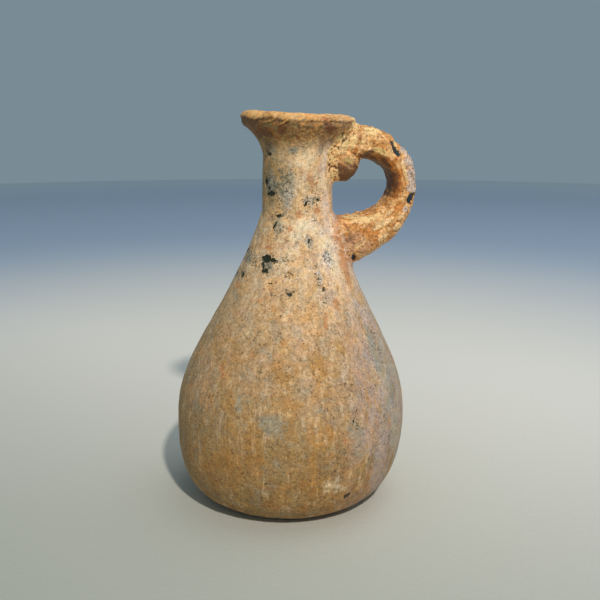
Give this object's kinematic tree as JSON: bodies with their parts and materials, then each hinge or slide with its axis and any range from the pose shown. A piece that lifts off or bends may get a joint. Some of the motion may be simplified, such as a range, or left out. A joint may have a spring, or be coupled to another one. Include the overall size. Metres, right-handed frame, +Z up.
{
  "type": "glass pitcher",
  "caption": "Small free-blown glass pitcher with a pear-shaped body, a straight neck, a flared folded rim and an applied strap handle, under an opaque crust.",
  "frame": {"origin": "centre of the flat foot, on the surface the pitcher stands on", "axes": "+Z up from the foot to the rim, +X from the neck towards the handle"},
  "size_m": [0.0749, 0.0722, 0.1204],
  "materials": {
    "vessel_glass": "opaque weathering crust, matt, tan with pits",
    "handle_glass": "opaque weathering crust, matt, ochre, flaked"
  },
  "bodies": {
    "root": {"vessel": "vessel_glass", "handle": "handle_glass"}
  },
  "joints": []
}
